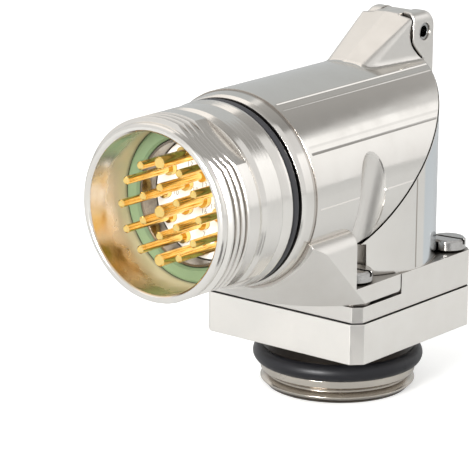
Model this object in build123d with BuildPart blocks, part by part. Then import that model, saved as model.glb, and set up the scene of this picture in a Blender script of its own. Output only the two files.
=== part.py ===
from build123d import *
from math import atan, cos, hypot, radians, sin, sqrt, tan
import os

# Angled panel connector, in millimetres. The panel face of the square block is z = 0 and its
# neck points down. The mating face looks along -Y. Right is the +X side and left the -X side.

# Upright body; the sides of the flange that it stands on lie flush with its own
body_radius = 12.35
body_wall = 2.1

# Square block with its threaded neck, a little wider than the flange above it
block_step = 0.15
block_height = 5.2
block_corner = 1.3
neck_radius = 10.0
neck_thread_depth = 0.8
neck_length = 7.5
neck_pitch = 1.5
neck_crest = 0.25
neck_lead = 0.8
neck_wall = 1.6

# Seal round the neck, which sits in a groove
panel_seal_section = 2.3
panel_seal_proud = 1.0
panel_seal_drop = 2.15

# Gasket between the block and the rear housing
gasket_thickness = 0.2
gasket_inset = 0.35
gasket_hole_clearance = 0.2

# Flange of the rear housing, which steps down in front to make room for the lugs
flange_corner = 1.0
flange_thickness = 4.6
step_thickness = 2.0
lug_gap = 0.5
lug_thickness = 2.2
lug_length = 9.24
lug_end_gap = 0.4
lug_body_gap = 0.15
lug_edge_radius = 0.5
lug_pad_radius = 2.0

# Screws at the four corners
screw_inset = 2.5
screw_radius = 1.25
screw_head_radius = 2.25
screw_head_height = 1.6
screw_head_edge = 0.25
screw_head_foot = 0.3
screw_slot_width = 0.6
screw_slot_depth = 0.7
screw_slot_angle = 8.0
screw_floor = 1.6
screw_tip_gap = 0.4
screw_tip_chamfer = 0.3
screw_hole_clearance = 0.15
screw_thread_clearance = 0.02
screw_pocket_clearance = 0.3
screw_pocket_height = 4.2

# Barrel and upright body share one section, which steps in from band to band
axis_height = 22.4
band_drop = 0.02
band_steps = ((25.5, 31.0), (57.0, 62.5), (87.0, 93.5))
mitre_gap = 0.3
mitre_seal_inset = 0.95
mitre_seal_width = 1.0

# Socket, as lengths from the upright axis forward to the rim
barrel_length = 21.05
barrel_step = 0.15
collar_cone = 1.5
collar_drop = 0.42
collar_lip = 0.55
collar_lip_drop = 0.68
groove_width = 1.75
seat_band = 0.35
seat_cone = 1.4
seat_step = 0.25
seat_rise = 0.15
plain_rear = 2.85
recess_length = 1.5
recess_depth = 0.3
plain_front = 2.25
thread_length = 3.1
rim_length = 0.8
rim_inset = 0.05
rim_rounding = 0.39
bore_lead = 0.25

# Coupling thread, broken by flats
thread_radius = 11.5
thread_depth = 0.55
thread_pitch = 1.0
thread_crest = 0.2
thread_runout = 0.28
thread_flat_depth = 0.1
thread_flats = (35.0, 275.0)
nose_flats = (155.0, 175.0, 195.0)
socket_wall = 1.05
socket_depth = 9.4

# Seal in the coupling groove
coupling_seal_section = 1.6

# Insert: coding ring, grounding sleeve, two insulators and the ring that retains them
web_length = 2.6
web_step = 1.95
insert_step = 0.85
insert_clearance = 0.05
coding_ring_length = 2.5
coding_ring_wall = 1.85
coding_ring_lip = 0.3
sleeve_setback = 0.2
sleeve_gap = 0.15
sleeve_wall = 0.3
sleeve_flange = 0.6
insulator_setback = 0.4
insulator_gap = 0.1
insulator_front_length = 4.5
insulator_rear_length = 3.4
retainer_length = 2.0
retainer_wall = 1.45
retainer_slot_width = 1.6
retainer_slot_depth = 0.9

# Contacts: pin radius, collar radius, shoulder radius, crimp radius and crimp bore radius
thin_contact = (0.5, 0.85, 1.1, 1.0, 0.65)
thick_contact = (0.75, 1.05, 1.25, 1.15, 0.85)
outer_circle_edge = 1.52
outer_circle_count = 12
inner_circle_count = 6
contact_setback = 1.3
contact_tip_chamfer = 0.15
contact_collar_proud = 0.7
contact_shoulder = 2.0
contact_waist = 1.4
contact_waist_step = 0.25
contact_tail = 3.0
crimp_depth = 4.0
contact_hole_clearance = 0.04

# Foot of the front housing, under the barrel
foot_inset = 0.02
foot_side_height = 7.55
foot_roll_radius = 2.1
foot_bulge = 1.42
foot_centre = -5.0
foot_body_gap = 0.64

# Scoops that let a screwdriver reach the front screws
scoop_radius = 2.8
scoop_shift = 0.35
scoop_rise = 4.05
scoop_depth = 0.92
scoop_tilt = 13.5

# Hinge
hinge_inset = 0.52
hinge_rise = 2.7
hinge_half_width = 4.2
knuckle_half_width = 1.9
knuckle_radius = 2.5
knuckle_side_gap = 0.15
knuckle_clearance = 0.25
ear_radius = 2.6
ear_gap = 0.38
ear_depth = 2.57
ear_front_reach = 2.25
ear_corner_radius = 2.1
ear_rounding = 1.0
ear_front_rounding = 0.35
ear_taper_drop = 4.9
ear_taper_length = 3.9
pin_radius = 1.12
pin_wall = 0.37
pin_slot = 0.5
pin_slot_angle = 215.0
pin_recess = 0.2
pin_clearance = 0.03

# Wedge on top of the barrel, which carries the knuckle
crest_reach = 2.78
crest_rise = 2.53
wedge_slope = 30.2
wedge_roof_tilt = 8.0
wedge_top_tilt = 4.6
wedge_top_rounding = 0.3
wedge_taper = 3.9
wedge_edge_lead = 0.5
wedge_edge_margin = 1.0
wedge_edge_crest = 0.35
wedge_edge_root = 1.6
wedge_root_depth = 2.05
wedge_foot_rounding = 1.0

# Levels and half widths worked out from the sizes above
half_block = body_radius + block_step
block_side = 2 * half_block
flange_base = block_height + gasket_thickness
flange_top = flange_base + flange_thickness
step_top = flange_base + step_thickness
lug_bottom = step_top + lug_gap
lug_top = lug_bottom + lug_thickness
foot_half_width = half_block - foot_inset
foot_rear = -body_radius - foot_body_gap
lug_rear = foot_rear + lug_length
cavity_radius = body_radius - body_wall
neck_bore_radius = neck_radius - neck_thread_depth - neck_wall
thread_root_radius = thread_radius - thread_depth
bore_radius = thread_root_radius - socket_wall
seam_offset = mitre_gap / 2
far = 2 * block_side + axis_height

# Stations along the barrel axis
barrel_front = -barrel_length
cone_front = barrel_front - collar_cone
groove_rear = cone_front - collar_lip
groove_front = groove_rear - groove_width
seat_rear = groove_front - seat_band
seat_front = seat_rear - seat_cone
recess_rear = seat_front - plain_rear
recess_front = recess_rear - recess_length
thread_rear = recess_front - plain_front
thread_front = thread_rear - thread_length
rim_face = thread_front - rim_length
socket_floor = rim_face + socket_depth
web_rear = socket_floor + web_length

# Hinge and wedge points
hinge_y = body_radius - hinge_inset
hinge_z = axis_height + body_radius + hinge_rise
hinge_point = (hinge_y, hinge_z)
ear_inner = knuckle_half_width + knuckle_side_gap
ear_rear = hinge_y + ear_depth
ear_front = hinge_y - ear_front_reach
crest = (hinge_y - crest_reach, hinge_z + crest_rise)

# Screw places
half_pitch = half_block - screw_inset
rear_screws = [(half_pitch, half_pitch), (-half_pitch, half_pitch)]
front_screws = [(half_pitch, -half_pitch), (-half_pitch, -half_pitch)]
all_screws = rear_screws + front_screws

barrel_axis = Axis((0, 0, axis_height), (0, 1, 0))


def point_at(radius, angle):
    """Point of a section, with the angle counted from the top towards the right."""
    return (radius * sin(radians(angle)), radius * cos(radians(angle)))


def body_outline():
    """Outline of the barrel and of the upright body: four bands a side, joined by slopes."""
    radii = [body_radius - band_drop * band for band in range(len(band_steps) + 1)]
    starts = [0.0] + [step[1] for step in band_steps]
    ends = [step[0] for step in band_steps] + [180.0]
    for side in (1, -1):
        for radius, start, end in zip(radii, starts, ends):
            angles = (start, (start + end) / 2, end)
            ThreePointArc(*[point_at(radius, side * angle) for angle in angles])
        for (start, end), outer, inner in zip(band_steps, radii, radii[1:]):
            Line(point_at(outer, side * start), point_at(inner, side * end))


def mitre_plane(offset):
    """Plane of the mitre seam, moved towards the rear housing by the offset."""
    step = offset / sqrt(2)
    return Plane(origin=(0, step, axis_height - step), x_dir=(1, 0, 0), z_dir=(0, 1, -1))


def barrel_plane(y):
    """Section plane of the barrel at y, with its centre on the axis and its normal to the rear."""
    return Plane(origin=(0, y, axis_height), x_dir=(-1, 0, 0), z_dir=(0, 1, 0))


def turned(profile):
    """Solid turned about the barrel axis from (y, radius) points."""
    with BuildPart() as body:
        with BuildSketch(Plane.YZ):
            Polygon(*[(y, axis_height + radius) for y, radius in profile], align=None)
        revolve(axis=barrel_axis)
    return body.part


# Square block with the threaded neck
neck_groove_radius = neck_radius + panel_seal_proud - panel_seal_section
neck_groove_end = -panel_seal_drop - panel_seal_section
first_groove = neck_groove_end - neck_pitch
groove_total = int((neck_length + first_groove) / neck_pitch) + 1
neck_groove_half = (neck_pitch - neck_crest) / 2
with BuildPart() as base_block:
    with BuildSketch():
        square = Rectangle(block_side, block_side)
        chamfer(square.vertices(), block_corner)
    extrude(amount=block_height)
    with BuildSketch(Plane.XZ):
        Polygon(
            (0, 0),
            (neck_radius, 0),
            (neck_radius, -panel_seal_drop),
            (neck_groove_radius, -panel_seal_drop),
            (neck_groove_radius, neck_groove_end),
            (neck_radius, neck_groove_end),
            (neck_radius, neck_lead - neck_length),
            (neck_radius - neck_lead, -neck_length),
            (0, -neck_length),
            align=None,
        )
    revolve(axis=Axis.Z)
    # Thread, as rings one pitch apart
    with BuildSketch(Plane.XZ):
        for turn in range(groove_total):
            with Locations((neck_radius - neck_thread_depth, first_groove - turn * neck_pitch)):
                Polygon(
                    (0, neck_crest / 2),
                    (neck_thread_depth, neck_groove_half),
                    (neck_thread_depth, -neck_groove_half),
                    (0, -neck_crest / 2),
                    align=None,
                )
    revolve(axis=Axis.Z, mode=Mode.SUBTRACT)
    with Locations((0, 0, block_height)):
        Hole(neck_bore_radius)
    with Locations(*[(x, y, block_height) for x, y in all_screws]):
        Hole(screw_radius + screw_thread_clearance, depth=block_height - screw_floor)
base_block.part.label = "base_block"

# Seal round the neck
with BuildPart() as panel_seal:
    with BuildSketch(Plane.XZ):
        with Locations((neck_groove_radius + panel_seal_section / 2,
                        -panel_seal_drop - panel_seal_section / 2)):
            Circle(panel_seal_section / 2)
    revolve(axis=Axis.Z)
panel_seal.part.label = "panel_seal"

# Gasket under the rear housing
with BuildPart() as flange_gasket:
    with BuildSketch(Plane.XY.offset(block_height)):
        gasket_side = 2 * (body_radius - gasket_inset)
        gasket_outline = Rectangle(gasket_side, gasket_side)
        chamfer(gasket_outline.vertices(), flange_corner)
        Circle(cavity_radius + gasket_hole_clearance, mode=Mode.SUBTRACT)
        with Locations(*all_screws):
            Circle(screw_radius + gasket_hole_clearance, mode=Mode.SUBTRACT)
    extrude(amount=gasket_thickness)
flange_gasket.part.label = "flange_gasket"

# Hinge ears: plates that rise from the upright body and hold the ends of the pin
slant = ear_radius / sqrt(2)
ear_foot_y = (hinge_y - slant + hinge_z - slant - axis_height) / 2
ear_root_y = ear_foot_y - ear_gap
ear_root_level = axis_height - seam_offset * sqrt(2)
ear_taper_top = hinge_z - ear_taper_drop
ear_taper_bottom = ear_taper_top - ear_taper_length


def beside_gap(edge):
    """Whether an edge of an ear borders on the gap in front of it."""
    middle = edge.center()
    return middle.Y < hinge_y and middle.Y - hinge_y < hinge_z - middle.Z


def ear(start_x, square_front):
    """Ear from start_x towards +X, with a round head or with a head that is square in front."""
    with BuildPart() as plate:
        with BuildSketch(Plane.YZ.offset(start_x)) as outline:
            Polygon(
                (hinge_y - slant, hinge_z - slant),
                (ear_foot_y, ear_foot_y + ear_root_level),
                (ear_root_y, ear_root_y + ear_root_level),
                (ear_root_y, ear_taper_bottom),
                (ear_foot_y, ear_taper_bottom),
                (ear_rear, ear_taper_top),
                (ear_rear, hinge_z),
                hinge_point,
                align=None,
            )
            with Locations(hinge_point):
                Circle(ear_radius)
            if square_front:
                with Locations(hinge_point):
                    Rectangle(far, far, align=Align.MIN, mode=Mode.SUBTRACT)
                with Locations((ear_front, hinge_z)):
                    Rectangle(ear_rear - ear_front, ear_radius, align=Align.MIN)
                top_corners = outline.vertices().group_by(Axis.Y)[-1]
                fillet(top_corners.sort_by(Axis.X)[-1], ear_corner_radius)
            with Locations((ear_rear, hinge_z)):
                Rectangle(far, far, align=(Align.MIN, Align.CENTER), mode=Mode.SUBTRACT)
        extrude(amount=hinge_half_width - ear_inner)
        # Rounded edges of the outer face above the seam, with a smaller rounding beside the gap
        seam_level = ear_foot_y + axis_height
        for in_front in (False, True) if square_front else (False,):
            outer_face = plate.faces().sort_by(lambda face: abs(face.center().X))[-1]
            edges = [edge for edge in outer_face.edges() if edge.center().Z > seam_level]
            rounding = ear_front_rounding if in_front else ear_rounding
            fillet([edge for edge in edges if beside_gap(edge) == in_front], rounding)
    return plate.part


# Rear housing: flange, upright body and ears
with BuildPart() as rear_housing:
    with BuildSketch(Plane.XY.offset(flange_base)):
        flange_outline = Rectangle(2 * body_radius, 2 * body_radius)
        chamfer(flange_outline.vertices(), flange_corner)
    extrude(amount=flange_thickness)
    with BuildSketch(Plane.XY.offset(step_top)):
        with Locations((0, lug_rear + lug_end_gap)):
            Rectangle(far, far, align=(Align.CENTER, Align.MAX))
    extrude(amount=flange_thickness, mode=Mode.SUBTRACT)
    with BuildSketch(Plane.XY.offset(flange_base)):
        with BuildLine():
            body_outline()
        make_face()
    extrude(amount=far)
    split(bisect_by=mitre_plane(seam_offset), keep=Keep.TOP)
    add(ear(ear_inner, True))
    add(ear(-hinge_half_width, False))
    # Pads that the lugs are screwed down on
    with BuildSketch(Plane.XY.offset(step_top)):
        with Locations(*front_screws):
            Circle(lug_pad_radius)
    extrude(amount=lug_gap)
    # Room round the screw heads
    with BuildSketch(Plane.XY.offset(flange_top)):
        with Locations(*all_screws):
            Circle(screw_head_radius + screw_pocket_clearance)
    extrude(amount=screw_pocket_height, mode=Mode.SUBTRACT)
    # Wire passage, screw holes, room for the knuckle, and the pin hole
    with BuildSketch(Plane.XY.offset(flange_base)):
        Circle(cavity_radius)
    extrude(amount=far, mode=Mode.SUBTRACT)
    with BuildSketch(Plane.XY.offset(flange_base)):
        with Locations(*all_screws):
            Circle(screw_radius + screw_hole_clearance)
    extrude(amount=flange_thickness, mode=Mode.SUBTRACT)
    with BuildSketch(Plane.YZ):
        with Locations(hinge_point):
            Circle(knuckle_radius + knuckle_clearance)
    extrude(amount=ear_inner, both=True, mode=Mode.SUBTRACT)
    with BuildSketch(Plane.YZ):
        with Locations(hinge_point):
            Circle(pin_radius + pin_clearance)
    extrude(amount=far, both=True, mode=Mode.SUBTRACT)
rear_housing.part.label = "rear_housing"

# Foot of the front housing: its front leans forward at 45 degrees as a slanted round column,
# and its sides roll over into the barrel
with BuildPart() as foot:
    with BuildSketch(Plane.XZ.offset(-foot_rear)):
        with Locations((0, lug_bottom)):
            block = Rectangle(
                2 * foot_half_width,
                foot_side_height + foot_roll_radius,
                align=(Align.CENTER, Align.MIN),
            )
        fillet(block.vertices().group_by(Axis.Y)[-1], foot_roll_radius)
    extrude(amount=foot_rear + barrel_length)
    # Lugs that reach back beside the upright body
    with BuildSketch(Plane.YZ):
        with Locations((lug_rear, lug_bottom)):
            lug = Rectangle(far, lug_thickness, align=(Align.MAX, Align.MIN))
        fillet(lug.vertices().group_by(Axis.Y)[0].sort_by(Axis.X)[-1], lug_edge_radius)
    extrude(amount=foot_half_width, both=True)
    with BuildSketch(Plane.XY.offset(lug_bottom)):
        Circle(body_radius + lug_body_gap)
    extrude(amount=lug_thickness, mode=Mode.SUBTRACT)
    foot_front_radius = foot_half_width + foot_bulge
    with BuildSketch(Plane.XY.offset(lug_bottom)):
        with Locations((0, foot_centre)):
            Circle(foot_front_radius)
    extrude(amount=far, dir=(0, -1, 1), mode=Mode.INTERSECT)

# Wedge: a low roof that rises along the barrel to the knuckle and widens on its way up
slope = radians(wedge_slope)
roof = radians(wedge_roof_tilt)
taper = radians(wedge_taper)
side_lean = atan(sin(slope) * tan(taper))
wedge_root_z = axis_height + body_radius - wedge_root_depth
wedge_root_y = crest[0] - (crest[1] - wedge_root_z) / tan(slope)
wedge_root_reach = (crest[1] - wedge_root_z) / sin(slope)


def edge_waste(side, reach, radius):
    """Sketch of what is cut off beside the rounded edge of the roof, across the slope at its reach."""
    half_width = hinge_half_width - (crest_reach + reach * cos(slope)) * tan(taper)
    inset = (half_width * cos(side_lean) - radius) * cos(roof) + radius * sin(side_lean)
    centre_x = inset / cos(side_lean + roof)
    centre_rise = -(radius + centre_x * sin(roof)) / cos(roof)
    middle_turn = (radians(90) - roof + side_lean) / 2
    on_roof, middle, on_side = [
        (side * (centre_x + radius * cos(turn)), centre_rise + radius * sin(turn))
        for turn in (radians(90) - roof, middle_turn, side_lean)
    ]
    outside = on_side[0] + side * wedge_edge_margin
    place = (0, crest[0] - reach * cos(slope), crest[1] - reach * sin(slope))
    with BuildSketch(Plane(origin=place, x_dir=(1, 0, 0), z_dir=(0, -cos(slope), -sin(slope)))) as waste:
        with BuildLine():
            ThreePointArc(on_roof, middle, on_side)
            Polyline(
                on_side,
                (outside, on_side[1]),
                (outside, wedge_edge_margin),
                (on_roof[0], wedge_edge_margin),
                on_roof,
            )
        make_face()
    return waste.sketch


def at_wedge_foot(edge):
    """Whether an edge lies where the wedge meets the top of the barrel."""
    middle = edge.center()
    radii = [hypot(corner.X, corner.Z - axis_height) for corner in edge.vertices()]
    on_barrel = all(abs(radius - body_radius) < band_drop / 2 for radius in radii)
    beside_middle = knuckle_half_width / 2 < abs(middle.X) < hinge_half_width
    return on_barrel and beside_middle and middle.Y > wedge_root_y and middle.Z > axis_height


with BuildPart() as wedge:
    with BuildSketch(Plane.YZ):
        Polygon(
            (wedge_root_y, wedge_root_z),
            crest,
            (hinge_y, crest[1]),
            (hinge_y, wedge_root_z),
            align=None,
        )
    extrude(amount=hinge_half_width, both=True)
    for side in (1, -1):
        side_foot = (side * hinge_half_width, hinge_y, 0)
        side_normal = (side * cos(taper), -sin(taper), 0)
        split(bisect_by=Plane(origin=side_foot, z_dir=side_normal), keep=Keep.BOTTOM)
        roof_normal = (side * sin(roof), -sin(slope) * cos(roof), cos(slope) * cos(roof))
        split(bisect_by=Plane(origin=(0, *crest), z_dir=roof_normal), keep=Keep.BOTTOM)
        top = radians(wedge_top_tilt)
        top_normal = (side * sin(top), 0, cos(top))
        split(bisect_by=Plane(origin=(0, *crest), z_dir=top_normal), keep=Keep.BOTTOM)
    high_edges = wedge.edges().filter_by(lambda edge: edge.center().Z > hinge_z)
    top_edges = high_edges.filter_by(lambda edge: edge.center().Y < hinge_y - wedge_top_rounding)
    fillet(top_edges.sort_by(lambda edge: abs(edge.center().X))[-2:], wedge_top_rounding)
    # Edges beside the roof, whose rounding widens towards the barrel
    for side in (1, -1):
        crest_waste = edge_waste(side, -wedge_edge_lead, wedge_edge_crest)
        root_waste = edge_waste(side, wedge_root_reach, wedge_edge_root)
        loft([crest_waste, root_waste], ruled=True, mode=Mode.SUBTRACT)
    split(bisect_by=mitre_plane(-seam_offset), keep=Keep.BOTTOM)

# Nose of the front housing, turned about the barrel axis
seat_radius = thread_radius + seat_rise
groove_radius = seat_radius - coupling_seal_section
rim_radius = thread_root_radius - rim_inset
rim_cut = rim_rounding * (1 - cos(radians(45)))
nose_profile = [
    (rim_face, 0),
    (rim_face, rim_radius - rim_rounding),
    (rim_face + rim_cut, rim_radius - rim_cut),
    (rim_face + rim_rounding, rim_radius),
    (thread_front, thread_root_radius),
    (thread_rear, thread_root_radius),
    (thread_rear + thread_runout, thread_radius),
    (recess_front, thread_radius),
    ((recess_front + recess_rear) / 2, thread_radius - recess_depth),
    (recess_rear, thread_radius),
    (seat_front, thread_radius),
    (seat_front, thread_radius - seat_step),
    (seat_rear, seat_radius),
    (groove_front, seat_radius),
    (groove_front, groove_radius),
    (groove_rear, groove_radius),
    (groove_rear, body_radius - collar_lip_drop),
    (cone_front, body_radius - collar_drop),
    (barrel_front, body_radius - barrel_step),
    (barrel_front + barrel_step, body_radius - barrel_step),
    (barrel_front + barrel_step, 0),
]

# Bore of the front housing, from the mouth to the wire space
insert_radius = bore_radius - insert_step
web_radius = bore_radius - web_step
bore_profile = [
    (rim_face, 0),
    (rim_face, bore_radius + bore_lead),
    (rim_face + bore_lead, bore_radius),
    (socket_floor, bore_radius),
    (socket_floor, web_radius),
    (web_rear, web_radius),
    (web_rear, insert_radius),
    (far, insert_radius),
    (far, 0),
]

room_slant = (ear_radius + ear_gap) / sqrt(2)
room_foot_y = (hinge_y + hinge_z - 2 * room_slant - axis_height) / 2
thread_turns = int(thread_length / thread_pitch)
thread_half = (thread_pitch - thread_crest) / 2
with BuildPart() as front_housing:
    with BuildSketch(barrel_plane(barrel_front + barrel_step)):
        with BuildLine():
            body_outline()
        make_face()
    extrude(amount=far)
    split(bisect_by=mitre_plane(-seam_offset), keep=Keep.BOTTOM)
    add(turned(nose_profile))
    # Coupling thread, as rings one pitch apart, broken by flats
    for turn in range(thread_turns):
        ring = thread_front + thread_pitch / 2 + turn * thread_pitch
        add(turned([
            (ring - thread_half, thread_root_radius - thread_crest),
            (ring - thread_half, thread_root_radius),
            (ring - thread_crest / 2, thread_radius),
            (ring + thread_crest / 2, thread_radius),
            (ring + thread_half, thread_root_radius),
            (ring + thread_half, thread_root_radius - thread_crest),
        ]))
    flat_distance = thread_root_radius - thread_flat_depth
    for flats, flats_end in ((thread_flats, recess_front), (nose_flats, seat_front)):
        with BuildSketch(barrel_plane(rim_face)):
            for flat in flats:
                with Locations(Location((0, 0), 90 + flat)):
                    with Locations((flat_distance, 0)):
                        Rectangle(thread_radius, far, align=(Align.MIN, Align.CENTER))
        extrude(amount=flats_end - rim_face, mode=Mode.SUBTRACT)
    add(foot.part)
    add(wedge.part)
    fillet(front_housing.edges().filter_by(at_wedge_foot), wedge_foot_rounding)
    # Room for the ears on both sides of the middle, which carries the knuckle round the pin
    for start_x in (knuckle_half_width, -hinge_half_width - knuckle_side_gap):
        with BuildSketch(Plane.YZ.offset(start_x)):
            Polygon(
                (hinge_y - room_slant, hinge_z - room_slant),
                (room_foot_y, room_foot_y + axis_height),
                (far, far + axis_height),
                hinge_point,
                align=None,
            )
            with Locations(hinge_point):
                Circle(ear_radius + ear_gap)
            with Locations((ear_front - ear_gap, hinge_z)):
                Rectangle(far, far, align=Align.MIN)
        room_width = hinge_half_width + knuckle_side_gap - knuckle_half_width
        extrude(amount=room_width, mode=Mode.SUBTRACT)
    with BuildSketch(Plane.YZ):
        with Locations(hinge_point):
            Circle(knuckle_radius)
    extrude(amount=knuckle_half_width, both=True)
    add(turned(bore_profile), mode=Mode.SUBTRACT)
    # Scoops over the front screws
    for side in (1, -1):
        tilt = radians(scoop_tilt)
        scoop_top = (
            side * (body_radius - scoop_depth + scoop_radius / cos(tilt)),
            scoop_shift - half_pitch,
            axis_height + scoop_rise,
        )
        scoop_plane = Plane(
            origin=scoop_top, x_dir=(0, 1, 0), z_dir=(-side * sin(tilt), 0, -cos(tilt))
        )
        with BuildSketch(scoop_plane.offset(-scoop_radius)):
            Circle(scoop_radius)
        scoop_end = lug_top + scoop_radius
        extrude(amount=(scoop_top[2] - scoop_end) / cos(tilt) + scoop_radius, mode=Mode.SUBTRACT)
    with BuildSketch(Plane.XY.offset(lug_bottom)):
        with Locations(*front_screws):
            Circle(screw_radius + screw_hole_clearance)
    extrude(amount=lug_thickness, mode=Mode.SUBTRACT)
    with BuildSketch(Plane.YZ):
        with Locations(hinge_point):
            Circle(pin_radius + pin_clearance)
    extrude(amount=knuckle_half_width, both=True, mode=Mode.SUBTRACT)
front_housing.part.label = "front_housing"

# Seal in the mitre seam
with BuildPart() as mitre_seal:
    with BuildSketch(barrel_plane(0)):
        seal_radius = body_radius - len(band_steps) * band_drop - mitre_seal_inset
        Circle(seal_radius)
        Circle(seal_radius - mitre_seal_width, mode=Mode.SUBTRACT)
    extrude(amount=far, both=True)
    split(bisect_by=mitre_plane(-seam_offset), keep=Keep.TOP)
    split(bisect_by=mitre_plane(seam_offset), keep=Keep.BOTTOM)
mitre_seal.part.label = "mitre_seal"

# Hinge pin: a slotted spring pin
with BuildPart() as hinge_pin:
    with BuildSketch(Plane.YZ):
        with Locations(hinge_point):
            Circle(pin_radius)
            Circle(pin_radius - pin_wall, mode=Mode.SUBTRACT)
        with Locations(hinge_point):
            with Locations(Location((0, 0), pin_slot_angle)):
                Rectangle(
                    2 * pin_radius, pin_slot, align=(Align.MIN, Align.CENTER), mode=Mode.SUBTRACT
                )
    extrude(amount=hinge_half_width - pin_recess, both=True)
hinge_pin.part.label = "hinge_pin"

# Seal in the coupling groove
with BuildPart() as coupling_seal:
    with BuildSketch(Plane.YZ):
        with Locations(((groove_front + groove_rear) / 2,
                        axis_height + groove_radius + coupling_seal_section / 2)):
            Circle(coupling_seal_section / 2)
    revolve(axis=barrel_axis)
coupling_seal.part.label = "coupling_seal"


def screw(place, seat, label):
    """Slotted cheese-head screw with its head on the seat and its shank down into the block."""
    with BuildPart() as body:
        with BuildSketch(Plane.XY.offset(seat)):
            with Locations(place):
                Circle(screw_head_radius)
        extrude(amount=screw_head_height)
        chamfer(body.edges().group_by(Axis.Z)[-1], screw_head_edge)
        chamfer(body.edges().group_by(Axis.Z)[0], screw_head_foot)
        with BuildSketch(Plane.XY.offset(seat + screw_head_height - screw_slot_depth)):
            with Locations(Location((*place, 0), screw_slot_angle)):
                Rectangle(far, screw_slot_width)
        extrude(amount=screw_slot_depth, mode=Mode.SUBTRACT)
        with BuildSketch(Plane.XY.offset(seat)):
            with Locations(place):
                Circle(screw_radius)
        extrude(amount=screw_floor + screw_tip_gap - seat)
        chamfer(body.edges().group_by(Axis.Z)[0], screw_tip_chamfer)
    body.part.label = label
    return body.part


screws = [
    screw(front_screws[0], lug_top, "front_screw_right"),
    screw(front_screws[1], lug_top, "front_screw_left"),
    screw(rear_screws[0], flange_top, "rear_screw_right"),
    screw(rear_screws[1], flange_top, "rear_screw_left"),
]

# Coding ring on the socket floor
coding_front = socket_floor - coding_ring_length
coding_outer = bore_radius - insert_clearance
coding_inner = bore_radius - coding_ring_wall
coding_ring = turned([
    (socket_floor, coding_inner),
    (coding_front + coding_ring_lip, coding_inner),
    (coding_front, coding_inner + coding_ring_lip),
    (coding_front, coding_outer - coding_ring_lip),
    (coding_front + coding_ring_lip / 2, coding_outer),
    (socket_floor, coding_outer),
])
coding_ring.label = "coding_ring"

# Grounding sleeve, whose flange is held behind the web
sleeve_radius = coding_inner - sleeve_gap
sleeve_inner = sleeve_radius - sleeve_wall
insert_outer = insert_radius - insert_clearance
flange_rear = web_rear + sleeve_flange
grounding_sleeve = turned([
    (coding_front + sleeve_setback, sleeve_inner),
    (coding_front + sleeve_setback, sleeve_radius),
    (web_rear, sleeve_radius),
    (web_rear, insert_outer),
    (flange_rear, insert_outer),
    (flange_rear, sleeve_inner),
])
grounding_sleeve.label = "grounding_sleeve"

# Contacts in two circles and one in the middle; the three thick ones share the plane x = 0.
# The outer circle keeps its distance from the edge, and the inner one lies halfway in.
insulator_core = sleeve_inner - insulator_gap
outer_circle_radius = insulator_core - outer_circle_edge
inner_circle_radius = outer_circle_radius / 2
insulator_face = socket_floor + insulator_setback
insulator_split = flange_rear + insulator_front_length
insulator_end = insulator_split + insulator_rear_length
thin_places = []
thick_places = [(0.0, 0.0)]
for number in range(outer_circle_count):
    place = point_at(outer_circle_radius, number * 360 / outer_circle_count)
    upright = number % (outer_circle_count // 2) == 0
    (thick_places if upright else thin_places).append(place)
for number in range(inner_circle_count):
    thin_places.append(point_at(inner_circle_radius, number * 360 / inner_circle_count))
contact_kinds = [(thin_contact, place) for place in thin_places]
contact_kinds += [(thick_contact, place) for place in thick_places]


def bored(body, front, rear, part_index):
    """Cuts a hole round each contact, sized by one of its radii, from the front to the rear."""
    with BuildPart() as block:
        add(body)
        for kind, (x, z) in contact_kinds:
            with BuildSketch(Plane(origin=(x, front, axis_height + z), z_dir=(0, 1, 0))):
                Circle(kind[part_index] + contact_hole_clearance)
            extrude(amount=rear - front, mode=Mode.SUBTRACT)
    return block.part


shoulder_front = insulator_split - contact_shoulder
insulator_front = turned([
    (insulator_face, 0),
    (insulator_face, insulator_core),
    (flange_rear, insulator_core),
    (flange_rear, insert_outer),
    (insulator_split, insert_outer),
    (insulator_split, 0),
])
insulator_front = bored(insulator_front, insulator_face, shoulder_front, 1)
insulator_front = bored(insulator_front, shoulder_front, insulator_split, 2)
insulator_front.label = "insulator_front"

insulator_rear = turned([
    (insulator_split, 0),
    (insulator_split, insert_outer),
    (insulator_end, insert_outer),
    (insulator_end, 0),
])
insulator_rear = bored(insulator_rear, insulator_split, insulator_end, 3)
insulator_rear.label = "insulator_rear"

# Ring that holds both insulators, with two driver slots
retainer_inner = insert_outer - retainer_wall
with BuildPart() as retaining_ring:
    add(turned([
        (insulator_end, retainer_inner),
        (insulator_end, insert_outer),
        (insulator_end + retainer_length, insert_outer),
        (insulator_end + retainer_length, retainer_inner),
    ]))
    with BuildSketch(barrel_plane(insulator_end + retainer_length - retainer_slot_depth)):
        Rectangle(far, retainer_slot_width)
    extrude(amount=retainer_slot_depth, mode=Mode.SUBTRACT)
retaining_ring.part.label = "retaining_ring"


def contact(kind, place, number):
    """Pin contact: pin with a chamfered tip, collar, shoulder, waist and crimp barrel."""
    pin, collar, shoulder, crimp, crimp_bore = kind
    tip = rim_face + contact_setback
    collar_front = insulator_face - contact_collar_proud
    waist_end = insulator_split + contact_waist
    tail = insulator_end + contact_tail
    x, z = place
    with BuildPart() as body:
        with BuildSketch(Plane.YZ.offset(x)):
            with Locations((0, axis_height + z)):
                Polygon(
                    (tip, 0),
                    (tip, pin - contact_tip_chamfer),
                    (tip + contact_tip_chamfer, pin),
                    (collar_front, pin),
                    (collar_front, collar),
                    (shoulder_front, collar),
                    (shoulder_front, shoulder),
                    (insulator_split, shoulder),
                    (insulator_split, crimp - contact_waist_step),
                    (waist_end, crimp - contact_waist_step),
                    (waist_end, crimp),
                    (tail, crimp),
                    (tail, crimp_bore),
                    (tail - crimp_depth, crimp_bore),
                    (tail - crimp_depth, 0),
                    align=None,
                )
        revolve(axis=Axis((x, 0, axis_height + z), (0, 1, 0)))
    body.part.label = f"contact_{number:02d}"
    return body.part


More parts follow.
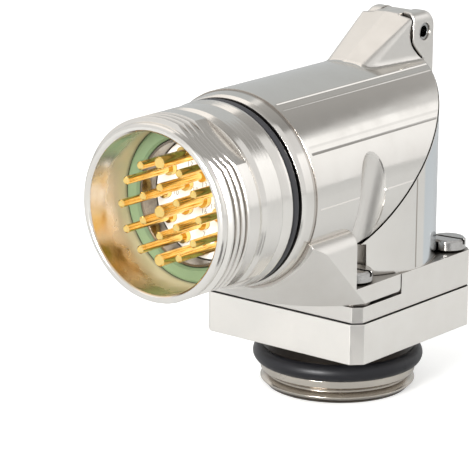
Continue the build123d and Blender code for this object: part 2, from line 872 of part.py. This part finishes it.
contacts = [contact(kind, place, 1 + index) for index, (kind, place) in enumerate(contact_kinds)]

pieces = [
    base_block.part,
    panel_seal.part,
    flange_gasket.part,
    rear_housing.part,
    front_housing.part,
    mitre_seal.part,
    hinge_pin.part,
    coupling_seal.part,
    coding_ring,
    grounding_sleeve,
    insulator_front,
    insulator_rear,
    retaining_ring.part,
]
os.makedirs("parts", exist_ok=True)
for piece in pieces + screws + contacts:
    export_step(piece, f"parts/{piece.label}.step")
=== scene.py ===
import math

import bmesh
import bpy
from mathutils import Matrix, Vector


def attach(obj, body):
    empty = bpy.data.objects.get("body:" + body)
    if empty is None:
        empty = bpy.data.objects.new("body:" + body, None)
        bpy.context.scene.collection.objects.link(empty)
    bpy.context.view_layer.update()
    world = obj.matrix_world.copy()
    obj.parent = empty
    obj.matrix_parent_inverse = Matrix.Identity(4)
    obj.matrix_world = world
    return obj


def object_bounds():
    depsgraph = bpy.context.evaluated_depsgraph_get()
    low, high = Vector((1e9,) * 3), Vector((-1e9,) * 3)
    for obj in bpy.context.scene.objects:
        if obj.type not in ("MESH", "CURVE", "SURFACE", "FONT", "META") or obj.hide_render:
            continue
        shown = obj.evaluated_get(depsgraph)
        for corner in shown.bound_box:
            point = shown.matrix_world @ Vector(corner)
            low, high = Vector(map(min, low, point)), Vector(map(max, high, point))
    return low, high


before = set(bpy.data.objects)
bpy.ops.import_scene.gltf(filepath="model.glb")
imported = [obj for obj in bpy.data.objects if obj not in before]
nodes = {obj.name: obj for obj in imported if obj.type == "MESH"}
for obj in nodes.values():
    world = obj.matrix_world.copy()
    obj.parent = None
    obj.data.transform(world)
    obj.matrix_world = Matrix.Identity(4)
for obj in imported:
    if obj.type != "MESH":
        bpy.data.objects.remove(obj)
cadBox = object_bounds()
print("frame loaded:", len(nodes), "nodes")


def linear(hexText):  # sRGB hex to the linear colour that a socket takes
    parts = [int(hexText[i:i + 2], 16) / 255 for i in (1, 3, 5)]
    return [c / 12.92 if c <= 0.04045 else ((c + 0.055) / 1.055) ** 2.4 for c in parts] + [1.0]


def perMetre(millimetres):  # scale of a pattern that repeats at this size, for coordinates in metres
    return 1000.0 / millimetres


def addNode(tree, kind, settings=None, links=None):
    node = tree.nodes.new(kind)
    for key, value in (settings or {}).items():
        if isinstance(key, int) or key in node.inputs:
            node.inputs[key].default_value = value
        else:
            setattr(node, key, value)
    for key, socket in (links or {}).items():
        tree.links.new(socket, node.inputs[key])
    return node


def newMaterial(name):
    material = bpy.data.materials.new(name)
    material.use_nodes = True
    tree = material.node_tree
    tree.nodes.clear()
    return material, tree


def setRamp(node, stops):
    elements = node.color_ramp.elements
    while len(elements) < len(stops):
        elements.new(1.0)
    for element, (place, colour) in zip(elements, stops):
        element.position = place
        element.color = colour


def tint(tree, factor, low, high):  # mixes two colours, each a socket or a list of values
    node = addNode(tree, "ShaderNodeMix", {"data_type": "RGBA"}, {0: factor})
    for place, colour in ((6, low), (7, high)):
        if isinstance(colour, list):
            node.inputs[place].default_value = colour
        else:
            tree.links.new(colour, node.inputs[place])
    return node.outputs[2]


def blend(tree, factor, low, high):  # mixes two values, each a socket or a number
    terms = {2: low, 3: high}
    values = {place: term for place, term in terms.items() if isinstance(term, float)}
    sockets = {place: term for place, term in terms.items() if place not in values}
    return addNode(tree, "ShaderNodeMix", {"data_type": "FLOAT", **values}, {0: factor, **sockets}).outputs[0]


def maths(tree, operation, *terms):
    values = {place: term for place, term in enumerate(terms) if isinstance(term, (int, float))}
    sockets = {place: term for place, term in enumerate(terms) if place not in values}
    return addNode(tree, "ShaderNodeMath", {"operation": operation, **values}, sockets).outputs[0]


def step(tree, value, start, width):  # 0 to 1 as the value passes the start; down where width < 0
    return addNode(tree, "ShaderNodeMapRange", {"From Min": start, "From Max": start + width},
                   {"Value": value}).outputs[0]


def inverse(tree, value):  # 0 for 1 and 1 for 0
    return maths(tree, "SUBTRACT", 1.0, value)


def product(tree, *terms):
    result = terms[0]
    for term in terms[1:]:
        result = maths(tree, "MULTIPLY", result, term)
    return result


def vectorMaths(tree, operation, links, output=0):
    return addNode(tree, "ShaderNodeVectorMath", {"operation": operation}, links).outputs[output]


def noise(tree, place, millimetres, detail, roughness=0.5):  # clouds of about this size
    return addNode(tree, "ShaderNodeTexNoise",
                   {"Scale": perMetre(millimetres), "Detail": detail, "Roughness": roughness},
                   {"Vector": place}).outputs["Fac"]


def spread(tree, value, ends, start=0.0, end=1.0):  # from one end to the other as the value rises
    return addNode(tree, "ShaderNodeMapRange",
                   {"From Min": start, "From Max": end, "To Min": ends[0], "To Max": ends[1]},
                   {"Value": value}).outputs[0]


def towards(azimuth, elevation):  # degrees, the azimuth from -Y towards +X
    a, e = math.radians(azimuth), math.radians(elevation)
    return Vector((math.sin(a) * math.cos(e), -math.cos(a) * math.cos(e), math.sin(e)))


def dress(material, *names):
    for name in names:
        data = nodes[name].data
        data.materials.clear()
        data.materials.append(material)


# Camera, matched to the photograph
camera = {
    "azimuth": 38.935,         # degrees, from -Y towards +X
    "elevation": 15.442,
    "roll": 0.465,
    "distance": 0.382208,      # m, from the aim
    "lens": 228.03,            # mm
    "sensor": 36,              # mm
    "clip": (0.01, 20),        # m
    "aim": (0.0, 0.0, 0.0112135),
    "offset": (0.013423, -0.000863),   # m, of the aim from the middle of the picture
}


def buildCamera():
    a, r = math.radians(camera["azimuth"]), math.radians(camera["roll"])
    right = Vector((math.cos(a), math.sin(a), 0))
    back = towards(camera["azimuth"], camera["elevation"])
    up = back.cross(right)
    rightRolled = right * math.cos(r) + up * math.sin(r)
    upRolled = up * math.cos(r) - right * math.sin(r)
    across, along = camera["offset"]
    place = Vector(camera["aim"]) - rightRolled * across - upRolled * along + back * camera["distance"]
    data = bpy.data.cameras.new("camera")
    data.lens = camera["lens"]
    data.sensor_width = camera["sensor"]
    data.clip_start, data.clip_end = camera["clip"]
    eye = bpy.data.objects.new("camera", data)
    bpy.context.scene.collection.objects.link(eye)
    matrix = Matrix((rightRolled, upRolled, back)).transposed().to_4x4()
    matrix.translation = place
    eye.matrix_world = matrix
    bpy.context.scene.camera = eye


buildCamera()
bpy.context.scene.view_settings.view_transform = "Standard"
print("camera placed")


# Studio: pale floor, soft lamps, and cards that the metal mirrors
studio = {
    "worldDiffuse": 0.62,   # even light on the object
    "worldMirrored": 0.86,  # what the metal sees; the camera sees pure white
    "floorColour": "#E6E6E4",
    "floorMirrored": "#D0D1D1",  # the paper as upright metal mirrors it
    "floorGlow": 0.42,      # lifts the lit floor to white for the camera
    "floorSize": 6.0,       # m
    "floorDrop": 0.00002,   # m, below the object
    # Azimuth from -Y towards +X and elevation in degrees, distance and size in m, watts, and
    # whether the metal mirrors the lamp
    "lamps": [
        ("lampFront", -30, 50, 0.9, 0.6, 4.0, False),
        ("lampRight", 100, 35, 0.9, 0.5, 2.5, False),
        ("lampMouth", 8, 12, 0.8, 0.24, 8.0, True),
    ],
    # Azimuth, elevation, width and height in degrees, colour, and the strength at both ends of
    # the axis along which it changes
    "cards": [
        ("cardUpperBack", 172, 63, 36, 56, "#A6A5A3", (0.84, 1.3), "X"),
        ("cardLeftBack", 214, 22, 50, 54, "#C9CCCD", (1.0, 1.0), "Y"),
        ("cardRightBack", 135, 12, 40, 42, "#FFFFFF", (0.95, 1.35), "Y"),
        ("cardTopLeft", 262, 52, 62, 44, "#FFFBF7", (1.09, 1.27), "Y"),
    ],
    "cardDistance": 0.7,    # m
    "cornerShadeCard": (0.045, -0.039, 0.034, "#7F7F7F"),  # grey card only the metal sees, painted shade in the floor it mirrors: place and size on the floor, m, and colour
    "cornerCardRise": 0.00001,  # m, above the object's foot
}


def buildWorld():
    world = bpy.data.worlds.new("studio")
    bpy.context.scene.world = world
    world.use_nodes = True
    tree = world.node_tree
    tree.nodes.clear()
    path = addNode(tree, "ShaderNodeLightPath")
    mirrored = spread(tree, path.outputs["Is Glossy Ray"],
                      (studio["worldDiffuse"], studio["worldMirrored"]))
    clear = maths(tree, "MAXIMUM", path.outputs["Is Camera Ray"], path.outputs["Is Transmission Ray"])
    sky = addNode(tree, "ShaderNodeBackground", {"Color": (1, 1, 1, 1)},
                  {"Strength": maths(tree, "MAXIMUM", mirrored, clear)})
    addNode(tree, "ShaderNodeOutputWorld", links={"Surface": sky.outputs[0]})


def buildFloor():
    mesh = bpy.data.meshes.new("floor")
    bm = bmesh.new()
    bmesh.ops.create_grid(bm, x_segments=2, y_segments=2, size=studio["floorSize"] / 2)
    bm.to_mesh(mesh)
    bm.free()
    floor = bpy.data.objects.new("floor", mesh)
    floor.location = (0, 0, cadBox[0].z - studio["floorDrop"])
    bpy.context.scene.collection.objects.link(floor)
    material, tree = newMaterial("paleStudioPaper")  # matt paper: no gloss, only a soft shadow
    path = addNode(tree, "ShaderNodeLightPath")
    glow = maths(tree, "MULTIPLY", path.outputs["Is Camera Ray"], studio["floorGlow"])
    colour = tint(tree, path.outputs["Is Glossy Ray"], linear(studio["floorColour"]),
                  linear(studio["floorMirrored"]))
    paper = addNode(tree, "ShaderNodeBsdfDiffuse", links={"Color": colour})
    light = addNode(tree, "ShaderNodeEmission", {"Color": (1, 1, 1, 1)}, {"Strength": glow})
    both = addNode(tree, "ShaderNodeAddShader", links={0: paper.outputs[0], 1: light.outputs[0]})
    addNode(tree, "ShaderNodeOutputMaterial", links={"Surface": both.outputs[0]})
    mesh.materials.append(material)


def aimed(name, data, direction, distance):
    thing = bpy.data.objects.new(name, data)
    centre = (cadBox[0] + cadBox[1]) / 2
    thing.location = centre + direction * distance
    thing.rotation_mode = "QUATERNION"
    thing.rotation_quaternion = direction.to_track_quat("Z", "Y")
    bpy.context.scene.collection.objects.link(thing)
    return thing


def buildLamps():
    for name, azimuth, elevation, distance, size, watts, seen in studio["lamps"]:
        data = bpy.data.lights.new(name, "AREA")
        data.size = size
        data.energy = watts
        lamp = aimed(name, data, towards(azimuth, elevation), distance)
        lamp.visible_glossy = seen  # where not, the metal mirrors the cards instead


def glowingCard(name, halfWidth, halfHeight, colour, strengths, axis):  # only the metal sees it
    mesh = bpy.data.meshes.new(name)
    bm = bmesh.new()
    corners = [(-1, -1), (1, -1), (1, 1), (-1, 1)]
    bm.faces.new([bm.verts.new((x * halfWidth, y * halfHeight, 0)) for x, y in corners])
    bm.to_mesh(mesh)
    bm.free()
    material, tree = newMaterial(name)
    place = addNode(tree, "ShaderNodeTexCoord").outputs["Object"]
    across = addNode(tree, "ShaderNodeSeparateXYZ", links={0: place}).outputs[axis]
    reach = halfWidth if axis == "X" else halfHeight
    light = addNode(tree, "ShaderNodeEmission", {"Color": linear(colour)},
                    {"Strength": spread(tree, across, strengths, -reach, reach)})
    addNode(tree, "ShaderNodeOutputMaterial", links={"Surface": light.outputs[0]})
    mesh.materials.append(material)
    return mesh


def hideButFromMetal(card):
    card.visible_camera = False
    card.visible_diffuse = False
    card.visible_shadow = False
    card.visible_transmission = False


def buildCards():
    distance = studio["cardDistance"]
    for name, azimuth, elevation, width, height, colour, strengths, axis in studio["cards"]:
        halfWidth = distance * math.tan(math.radians(width / 2))
        halfHeight = distance * math.tan(math.radians(height / 2))
        mesh = glowingCard(name, halfWidth, halfHeight, colour, strengths, axis)
        hideButFromMetal(aimed(name, mesh, towards(azimuth, elevation), distance))
    # A grey card on the floor that only the metal sees: painted shade in its reflection of the floor
    x, y, size, colour = studio["cornerShadeCard"]
    mesh = glowingCard("cornerShadeCard", size / 2, size / 2, colour, (1.0, 1.0), "Y")
    card = bpy.data.objects.new("cornerShadeCard", mesh)
    card.location = (x, y, cadBox[0].z + studio["cornerCardRise"])
    bpy.context.scene.collection.objects.link(card)
    hideButFromMetal(card)


buildWorld()
buildFloor()
buildLamps()
buildCards()
print("studio lit")


# Nickel plate: one material for the three castings, parted by place
nickel = {
    "colour": "#E4E1DC",       # warm silver of bright nickel
    "shade": "#DBD7D1",
    "neck": "#D0C9BF",         # painted shade on the panel thread, where it mirrors the shaded floor under the block
    "collar": "#2E2A27",       # painted shade and reflection, dark between the block and the panel seal
    "brownShade": "#6E5C49",      # painted shade, brown, in the seams and at the shoulder
    "blackShade": "#15110D",        # painted shade, black, at the bottom of the seams
    "lowerBoreTint": "#CBB083",        # tan tint on the lower part of the socket's wall
    "mattColour": "#F6E4CC",   # where the socket's wall meets the coding ring, blasted and matt
    "mattMetal": 0.5,
    # Share of the light that each kind of place gives back, with painted light and shade on some
    "satin": 0.97,             # tumbled faces
    "sides": (1.08, 0.91),     # painted light and shade on faces that look sideways, at the foot and at the ears
    "nose": 1.06,
    "boreLight": 1.08,              # painted light inside the socket
    "ledgeShade": 0.52,             # painted shade on the tops of the lugs and of the flange
    "blockLight": 1.17,             # painted light on the square block
    # Roughness
    "polished": (0.10, 0.17),  # barrel and upright body
    "turned": (0.15, 0.22),    # nose
    "tumbled": (0.28, 0.38),   # flange, foot, wedge and ears
    "bored": (0.09, 0.30),     # inside the socket
    "matt": 0.45,
    "cloudSpan": (0.3, 0.7),   # part of the cloud pattern that covers each pair above
    # Relief
    "blotchSize": 3.5,         # mm, slow change of the plating
    "grainSize": 0.35,         # mm, orange peel of the casting under the plate, coarser than real
    "grain": (0.05, 0.2),      # strength of the peel on polished and on tumbled faces
    "grainDepth": 0.00002,     # m
    "ringSize": 0.3,           # mm, rings that the lathe left on the nose
    "ringTilt": 0.16,          # how far they tilt the surface, as a slope
    "edge": 0.00012,           # m, edges that tumbling has rounded
    "wedgeEdge": 0.0003,       # m, softer ones on the wedge and the ears
    "seamReach": 0.0011,       # m, how far the painted shade spreads from a seam
    "blackShadeOpen": (0.28, 0.25),   # how open a seam is where black turns to brown, and over how much
    "seamShadeOpen": (0.75, -0.5),    # and where the painted shade begins
    # Where the finishes lie, m
    "sharp": 0.0001,           # over this one finish gives way to the next
    "soft": 0.0002,            # or over this
    "axisHeight": 0.0224,      # axis of the barrel
    "barrelRadius": 0.01245,   # polished within this radius
    "scoopRadius": 0.0122,     # the scoops lie within this one
    "boreRadius": 0.0101,      # dull within this one
    "noseRear": -0.0225,       # turned in front of this
    "collarFoot": -0.0022,     # painted shade above this
    "blockTop": 0.0053,
    "lugTop": 0.0102,          # level above which the body is polished
    "ledgeTop": 0.0105,        # no ledge lies above this
    "wedgeFoot": 0.0345,
    "wedgeFade": 0.001,
    "sideLevels": (0.008, 0.036),  # levels of the foot and the ears
    "ledgeFacing": (0.9, 0.05),    # how far up a ledge looks, as its normal's Z, and how softly
    "sideFacing": (0.85, 0.1),     # how far sideways a side looks
    "lowerBoreTintTop": -0.002,        # below the axis
    "lowerBoreTintFade": 0.004,
    "mattSpan": (-0.0347, -0.0288),    # from the front to the coding ring
    "mattFade": 0.0035,        # over which it begins
    "mattRagged": 0.004,       # how unevenly
    "shoulderSpan": (-0.0214, -0.0208),  # where painted shade lies between barrel and collar
    "shoulderShade": 0.4,       # how much of it
    # Tilt of the surface in degrees along the section of barrel and upright body, by the angle
    # from the top in degrees: the fine lines that part the polished bands
    "lineTilts": [(24.6, 0), (25.0, 31), (26.0, 31), (26.4, 0), (30.2, 0), (30.7, 20), (31.4, 20),
                  (31.9, 0), (56.6, 0), (57.0, 14), (58.1, 14), (58.5, 0), (60.3, 0), (61.1, -14),
                  (62.3, -22), (62.7, 0), (92.8, 0), (93.2, -16), (94.1, -16), (94.5, 0)],
    "lineSpan": (20, 100),     # degrees, between which the lines lie
    "greatestTilt": 40,        # degrees
    "lineFront": -0.0203,      # m, where the lines end before the collar
    "lineMitre": 0.0003,       # m, and how far from the mitre seam
    # On one side of the upright body a painted reflection, a cooler strip, and a dull line beside it: colour,
    # degrees at which it begins and over which it fades in, and the same at its end
    "reflectionStrips": [("#D0D5D8", 47, 8, 85, 2), ("#A39C94", 91.0, 0.35, 92.4, 0.35)],
}


def bandTilt(tree, turn, across, upright, rise, along, radius):
    # Vector along the section that tilts the normal at the fine lines between the polished bands
    sharp = nickel["sharp"]
    first, last = nickel["lineSpan"]
    place = step(tree, turn, math.radians(first), math.radians(last - first))
    ramp = addNode(tree, "ShaderNodeValToRGB", links={"Fac": place})
    stops = []
    for angle, tilt in nickel["lineTilts"]:
        level = 0.5 + tilt / (2 * nickel["greatestTilt"])
        stops.append(((angle - first) / (last - first), (level, level, level, 1.0)))
    setRamp(ramp, stops)
    tilt = maths(tree, "MULTIPLY", maths(tree, "SUBTRACT", ramp.outputs["Color"], 0.5),
                 math.radians(2 * nickel["greatestTilt"]))
    beside = maths(tree, "SUBTRACT", rise, along)
    clear = step(tree, maths(tree, "ABSOLUTE", beside), nickel["lineMitre"], sharp)
    behind = step(tree, along, nickel["lineFront"], sharp)
    slope = product(tree, maths(tree, "TANGENT", tilt), clear, behind, maths(tree, "SIGN", across))
    slope = maths(tree, "DIVIDE", slope, radius)
    onBarrel = step(tree, beside, 0.0, sharp)
    back = maths(tree, "MULTIPLY", across, -1.0)
    tangent = addNode(tree, "ShaderNodeCombineXYZ", links={
        "X": upright, "Y": product(tree, back, inverse(tree, onBarrel)),
        "Z": product(tree, back, onBarrel)}).outputs[0]
    return vectorMaths(tree, "SCALE", {0: tangent, "Scale": slope})


def makeNickel():
    # Bright nickel on zinc: the turned barrel mirrors long soft streaks with a faint orange peel,
    # the tumbled faces blur them, and painted shade darkens the seams and some faces
    material, tree = newMaterial("nickelPlate")
    sharp, soft = nickel["sharp"], nickel["soft"]
    place = addNode(tree, "ShaderNodeTexCoord").outputs["Object"]
    split = addNode(tree, "ShaderNodeSeparateXYZ", links={0: place})
    across, along, level = (split.outputs[axis] for axis in "XYZ")
    rise = maths(tree, "SUBTRACT", level, nickel["axisHeight"])
    upright = maths(tree, "MAXIMUM", rise, along)  # the upright body mirrors the barrel
    flat = addNode(tree, "ShaderNodeCombineXYZ", links={"X": across, "Y": upright})
    radius = vectorMaths(tree, "LENGTH", {0: flat.outputs[0]}, "Value")
    turn = maths(tree, "ABSOLUTE", maths(tree, "ARCTAN2", across, upright))
    blotch = noise(tree, place, nickel["blotchSize"], 3.0, 0.55)
    grain = noise(tree, place, nickel["grainSize"], 2.0, 0.6)

    # Where each finish lies
    outside = maths(tree, "MAXIMUM", step(tree, radius, nickel["barrelRadius"], soft),
                    step(tree, level, nickel["lugTop"], -sharp))
    neck = step(tree, level, 0.0, -sharp)
    inside = product(tree, step(tree, radius, nickel["boreRadius"], -soft), inverse(tree, neck))
    nose = step(tree, along, nickel["noseRear"], -soft)
    scoop = product(tree, step(tree, radius, nickel["scoopRadius"], -sharp),
                    inverse(tree, maths(tree, "MAXIMUM", inside, nose)),
                    step(tree, along, nickel["lineFront"], sharp))
    tumbled = maths(tree, "MAXIMUM", outside, scoop)
    blockLight = product(tree, step(tree, level, 0.0, sharp), step(tree, level, nickel["blockTop"], -sharp))
    wedge = product(tree, tumbled, step(tree, level, nickel["wedgeFoot"], nickel["wedgeFade"]))
    collar = product(tree, neck, step(tree, level, nickel["collarFoot"], sharp))
    first, last = nickel["shoulderSpan"]
    shoulder = product(tree, step(tree, along, first, sharp), step(tree, along, last, -sharp),
                       inverse(tree, outside))
    first, last = nickel["mattSpan"]
    ragged = maths(tree, "MULTIPLY", maths(tree, "SUBTRACT", blotch, 0.5), nickel["mattRagged"])
    matt = product(tree, step(tree, maths(tree, "ADD", along, ragged), first, nickel["mattFade"]),
                   inside, step(tree, along, last, -sharp))
    lowerBoreTint = product(tree, step(tree, rise, nickel["lowerBoreTintTop"], -nickel["lowerBoreTintFade"]), inside)
    coolSide = product(tree, step(tree, maths(tree, "SUBTRACT", along, rise), nickel["lineMitre"], sharp),
                       inverse(tree, tumbled), step(tree, across, 0.0, sharp))
    normal = addNode(tree, "ShaderNodeNewGeometry").outputs["True Normal"]
    normal = addNode(tree, "ShaderNodeSeparateXYZ", links={0: normal})
    # Painted shade on faces that look up, low on the body
    ledgeShade = product(tree, step(tree, normal.outputs["Z"], *nickel["ledgeFacing"]),
                    step(tree, level, nickel["ledgeTop"], -sharp))
    side = step(tree, maths(tree, "ABSOLUTE", normal.outputs["X"]), *nickel["sideFacing"])

    # Colour, with painted shade in the seams and painted light, shade and reflections in places
    colour = tint(tree, blotch, linear(nickel["colour"]), linear(nickel["shade"]))
    # Painted shade on the panel thread
    colour = tint(tree, neck, colour, linear(nickel["neck"]))
    # Painted reflections on one side of the upright body
    for shade, first, fadeIn, last, fadeOut in nickel["reflectionStrips"]:
        reflectionStrip = product(tree, step(tree, turn, math.radians(first), math.radians(fadeIn)),
                        step(tree, turn, math.radians(last), math.radians(-fadeOut)), coolSide)
        colour = tint(tree, reflectionStrip, colour, linear(shade))
    # Painted shade and reflection between the block and the panel seal
    colour = tint(tree, collar, colour, linear(nickel["collar"]))
    # Painted shade at the step between barrel and collar
    shoulder = maths(tree, "MULTIPLY", shoulder, nickel["shoulderShade"])
    colour = tint(tree, shoulder, colour, linear(nickel["brownShade"]))
    colour = tint(tree, lowerBoreTint, colour, linear(nickel["lowerBoreTint"]))
    colour = tint(tree, matt, colour, linear(nickel["mattColour"]))
    # Painted light and shade on sideways faces, changing with height
    satin = blend(tree, side, nickel["satin"],
                  spread(tree, level, nickel["sides"], *nickel["sideLevels"]))
    share = blend(tree, tumbled, 1.0, satin)
    for mask, key in ((nose, "nose"), (inside, "boreLight"), (ledgeShade, "ledgeShade"), (blockLight, "blockLight")):
        share = blend(tree, mask, share, nickel[key])
    colour = vectorMaths(tree, "SCALE", {0: colour, "Scale": share})
    # Painted shade in the seams, by how enclosed each point is
    shelter = addNode(tree, "ShaderNodeAmbientOcclusion",
                      {"samples": 8, "Distance": nickel["seamReach"]}).outputs["AO"]
    seamShade = tint(tree, step(tree, shelter, *nickel["blackShadeOpen"]), linear(nickel["blackShade"]),
                linear(nickel["brownShade"]))
    colour = tint(tree, step(tree, shelter, *nickel["seamShadeOpen"]), colour, seamShade)

    # Roughness
    dull = maths(tree, "MAXIMUM", inside, neck)
    rough = spread(tree, blotch, nickel["polished"], *nickel["cloudSpan"])
    for mask, kind in ((nose, "turned"), (tumbled, "tumbled"), (dull, "bored")):
        rough = blend(tree, mask, rough, spread(tree, blotch, nickel[kind], *nickel["cloudSpan"]))
    rough = blend(tree, matt, rough, nickel["matt"])

    # Relief: rounded edges, lines between the bands, lathe rings on the nose, and orange peel
    rounded = addNode(tree, "ShaderNodeBevel", {"samples": 6},
                      {"Radius": blend(tree, wedge, nickel["edge"], nickel["wedgeEdge"])}).outputs[0]
    lines = vectorMaths(tree, "SCALE", {0: bandTilt(tree, turn, across, upright, rise, along, radius),
                                        "Scale": inverse(tree, tumbled)})
    ring = addNode(tree, "ShaderNodeTexNoise",
                   {"noise_dimensions": "1D", "Scale": perMetre(nickel["ringSize"]), "Detail": 2.0},
                   {"W": along}).outputs["Fac"]
    ring = maths(tree, "MULTIPLY", maths(tree, "SUBTRACT", ring, 0.5), 2 * nickel["ringTilt"])
    rings = addNode(tree, "ShaderNodeCombineXYZ",
                    links={"Y": product(tree, ring, nose, inverse(tree, inside))}).outputs[0]
    relief = vectorMaths(tree, "ADD", {0: rounded, 1: lines})
    relief = vectorMaths(tree, "ADD", {0: relief, 1: rings})
    relief = vectorMaths(tree, "NORMALIZE", {0: relief})
    bump = addNode(tree, "ShaderNodeBump", {"Distance": nickel["grainDepth"]},
                   {"Strength": blend(tree, tumbled, *nickel["grain"]), "Height": grain,
                    "Normal": relief})
    surface = addNode(tree, "ShaderNodeBsdfPrincipled", links={
        "Base Color": colour, "Roughness": rough, "Normal": bump.outputs[0],
        "Metallic": blend(tree, matt, 1.0, nickel["mattMetal"])})
    addNode(tree, "ShaderNodeOutputMaterial", links={"Surface": surface.outputs[0]})
    return material


def finishMaterial(tree, settings, colour, rough, bump):
    surface = addNode(tree, "ShaderNodeBsdfPrincipled", settings,
                      {"Base Color": colour, "Roughness": rough, "Normal": bump.outputs[0]})
    addNode(tree, "ShaderNodeOutputMaterial", links={"Surface": surface.outputs[0]})


gold = {
    "colour": "#FBDC8E",       # hard gold over nickel
    "shade": "#F4CE78",
    "roughness": (0.13, 0.22),
    "bands": 3.1416,           # mm, spacing of the soft bands along a contact
    "patch": 1.2,              # mm, slow change of the colour
    "bump": 0.1,
    "depth": 0.00001,          # m, of the bands
}


def makeGold():
    # Bright gold plate on turned brass: deep yellow where it mirrors its neighbours
    material, tree = newMaterial("goldPlate")
    place = addNode(tree, "ShaderNodeTexCoord").outputs["Object"]
    wavesPerUnit = 20 / math.tau  # of the wave pattern at scale 1
    bands = addNode(tree, "ShaderNodeTexWave",
                    {"bands_direction": "Y", "Scale": perMetre(gold["bands"]) / wavesPerUnit,
                     "Distortion": 1.5, "Detail": 2.0}, {"Vector": place}).outputs["Fac"]
    colour = tint(tree, noise(tree, place, gold["patch"], 2.0), linear(gold["colour"]),
                  linear(gold["shade"]))
    bump = addNode(tree, "ShaderNodeBump", {"Strength": gold["bump"], "Distance": gold["depth"]},
                   {"Height": bands})
    finishMaterial(tree, {"Metallic": 1.0}, colour, spread(tree, bands, gold["roughness"]), bump)
    return material


steel = {
    "roughness": (0.14, 0.26),
    "turning": 0.4,            # mm, marks left by the lathe, coarser than real
    "edge": 0.00008,           # m, rounded edges
    "bump": 0.15,
    "depth": 0.00001,          # m, of the marks
}


def makeSteel(name, colours):
    # Bright turned steel: darker and cooler than the nickel, with fine marks that catch the light
    material, tree = newMaterial(name)
    place = addNode(tree, "ShaderNodeTexCoord").outputs["Object"]
    marks = noise(tree, place, steel["turning"], 3.0, 0.6)
    colour = tint(tree, marks, linear(colours[0]), linear(colours[1]))
    rounded = addNode(tree, "ShaderNodeBevel", {"samples": 6, "Radius": steel["edge"]}).outputs[0]
    bump = addNode(tree, "ShaderNodeBump", {"Strength": steel["bump"], "Distance": steel["depth"]},
                   {"Height": marks, "Normal": rounded})
    finishMaterial(tree, {"Metallic": 1.0}, colour, spread(tree, marks, steel["roughness"]), bump)
    return material


plastic = {
    "cloudSize": 4.0,          # mm, slow change of the colour
    "depth": 0.00003,          # m, of the mould's grain
}


def makePlastic(name, colours, roughness, grainSize, bumpStrength, specular=0.5):
    # Moulded plastic or rubber: even colour with slow clouds, and the faint grain of the mould
    material, tree = newMaterial(name)
    place = addNode(tree, "ShaderNodeTexCoord").outputs["Object"]
    cloud = noise(tree, place, plastic["cloudSize"], 3.0)
    grain = noise(tree, place, grainSize, 2.0)
    colour = tint(tree, cloud, linear(colours[0]), linear(colours[1]))
    bump = addNode(tree, "ShaderNodeBump", {"Strength": bumpStrength, "Distance": plastic["depth"]},
                   {"Height": grain})
    finishMaterial(tree, {"Specular IOR Level": specular}, colour, spread(tree, grain, roughness), bump)
    return material


nickelPlate = makeNickel()
goldPlate = makeGold()
turnedSteel = makeSteel("turnedSteel", ("#CFCDCA", "#A4A2A0"))
springSteel = makeSteel("rolledSpringSteel", ("#B9B9B8", "#8E8E8E"))
sleeveBrass = makeSteel("tarnishedNickelBrass", ("#A39C92", "#67615A"))
# Name, colours, roughness, size of the grain in mm and its strength; rubber shines less
socketRubber = makePlastic("nitrileRubber", ("#3A3A3D", "#323235"), (0.38, 0.5), 0.5, 0.2, 0.3)
panelRubber = makePlastic("darkNitrileRubber", ("#1B1B1F", "#151518"), (0.32, 0.45), 0.5, 0.2, 0.35)
greenNylon = makePlastic("greenNylon", ("#728766", "#697D5D"), (0.42, 0.55), 0.6, 0.15)
whitePbt = makePlastic("whitePbt", ("#FAF7F1", "#F0ECE5"), (0.35, 0.5), 0.6, 0.15)

contacts = sorted(name for name in nodes if name.startswith("contact_"))
screws = sorted(name for name in nodes if "screw" in name)
dress(nickelPlate, "front_housing", "rear_housing", "base_block")
dress(goldPlate, *contacts)
dress(turnedSteel, *screws)
dress(springSteel, "hinge_pin")
dress(sleeveBrass, "grounding_sleeve", "retaining_ring")
dress(socketRubber, "coupling_seal", "mitre_seal", "flange_gasket")
dress(panelRubber, "panel_seal")
dress(greenNylon, "coding_ring")
dress(whitePbt, "insulator_front", "insulator_rear")
print("materials made")


# Pin numbers on the insulator
pinNumbers = {
    "axisHeight": 0.0224,      # m
    "face": -0.0273,           # m, front face of the insulator
    "proud": 0.00003,          # m
    "size": 0.00095,           # m, height of a line of text
    # How many numbers stand on each circle, its radius in m, and the degrees from the top at which
    # they begin; the last is the number of the contact in the middle
    "circles": [(12, 0.0045, 0), (6, 0.00162, 0), (1, 0.00162, 30)],
    "ink": ("#8D8D8D", "#7C7C7C"),
}


def buildPinNumbers():
    ink = makePlastic("greyInk", pinNumbers["ink"], (0.5, 0.6), 0.3, 0.05)
    places = [(radius, math.radians(first + turn * 360 / count))
              for count, radius, first in pinNumbers["circles"] for turn in range(count)]
    for number, (radius, angle) in enumerate(places, 1):
        name = f"pinNumber{number:02d}"
        data = bpy.data.curves.new(name, "FONT")
        data.body = str(number)
        data.size = pinNumbers["size"]
        data.align_x = "CENTER"
        data.align_y = "CENTER"
        data.extrude = pinNumbers["proud"] / 2
        data.materials.append(ink)
        text = bpy.data.objects.new(name, data)
        bpy.context.scene.collection.objects.link(text)
        text.location = (radius * math.sin(angle), pinNumbers["face"] - pinNumbers["proud"] / 2,
                         pinNumbers["axisHeight"] + radius * math.cos(angle))
        text.rotation_euler = (math.pi / 2, 0, 0)
        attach(text, "root")


buildPinNumbers()
print("pin numbers set")
